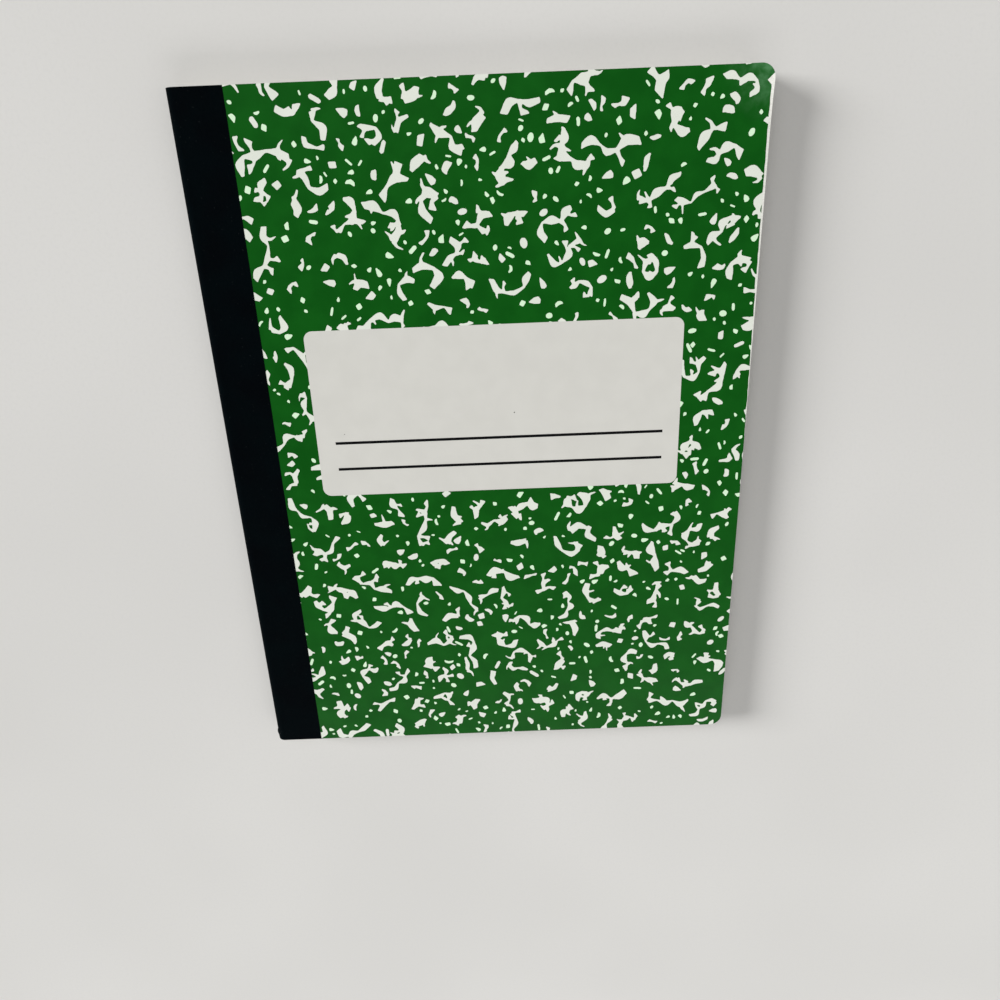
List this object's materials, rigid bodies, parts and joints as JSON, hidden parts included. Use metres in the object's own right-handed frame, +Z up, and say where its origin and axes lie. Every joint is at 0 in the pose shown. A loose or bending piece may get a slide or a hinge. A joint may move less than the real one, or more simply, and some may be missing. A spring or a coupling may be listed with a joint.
{
  "type": "composition notebook",
  "caption": "Sewn notebook with stiff marbled board covers, a black tape over its rounded spine and a blank name panel on the front.",
  "frame": {"origin": "middle of the footprint at the lowest surface, with the book lying shut on its back cover", "axes": "+X from the spine to the fore edge, +Y from the tail to the head of the page, +Z up through the thickness, out of the front cover"},
  "size_m": [0.1906, 0.2476, 0.0101],
  "materials": {
    "leaves": "matte",
    "cover_board": "satin",
    "spine_tape": "satin",
    "thread": "matte"
  },
  "bodies": {
    "pages": {"page_block": "leaves", "outer_thread": "thread", "inner_thread": "thread", "spine_tape": "spine_tape"},
    "front_cover": {"front_board": "cover_board", "front_tape_flap": "spine_tape"},
    "back_cover": {"back_board": "cover_board", "back_tape_flap": "spine_tape"}
  },
  "joints": [
    {"name": "front_cover_hinge", "type": "hinge", "parent": "pages", "child": "front_cover", "pos_m": [-0.09329, 0, 0.00967], "axis": [0, -1, 0], "range_deg": [0, 180]},
    {"name": "back_cover_hinge", "type": "hinge", "parent": "pages", "child": "back_cover", "pos_m": [-0.09329, 0, 0.00042], "axis": [0, 1, 0], "range_deg": [0, 180]}
  ]
}
